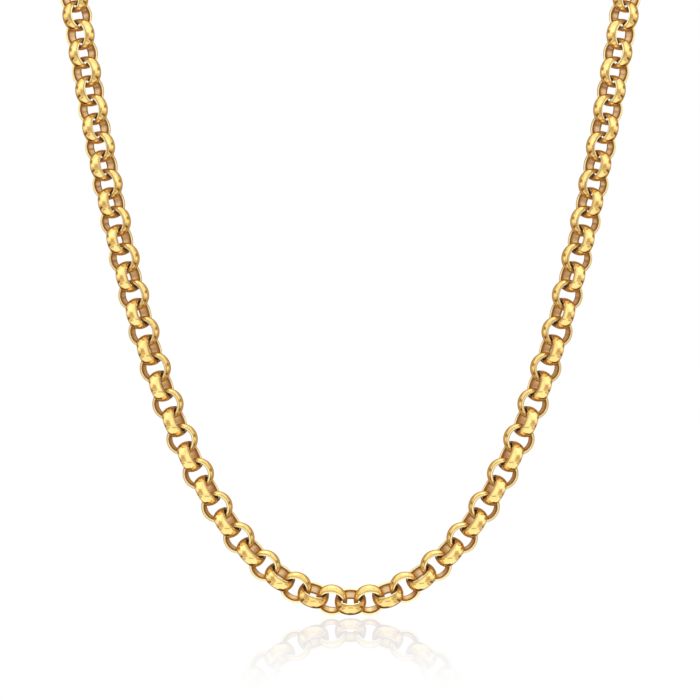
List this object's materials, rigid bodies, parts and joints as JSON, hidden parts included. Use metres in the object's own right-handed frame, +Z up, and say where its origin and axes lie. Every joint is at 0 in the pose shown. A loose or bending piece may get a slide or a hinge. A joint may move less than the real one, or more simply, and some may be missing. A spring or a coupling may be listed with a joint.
{
  "type": "rolo chain necklace",
  "caption": "Round-link rolo chain necklace in polished gold, a closed loop held as worn, with a plain lobster clasp at the nape.",
  "frame": {"origin": "middle of the clasp at the nape, where the worn necklace hangs from the back of the neck", "axes": "+Z up, +X towards the wearer's left, +Y towards the wearer's back, so the front of the necklace faces -Y"},
  "size_m": [0.1304, 0.1092, 0.1863],
  "materials": {
    "gold_links": "polished yellow gold plating over solid metal links",
    "gold_clasp": "polished yellow gold plating, a little softer than on the links"
  },
  "bodies": {
    "root": {"even_links": "gold_links", "odd_links": "gold_links", "clasp": "gold_clasp"}
  },
  "joints": []
}
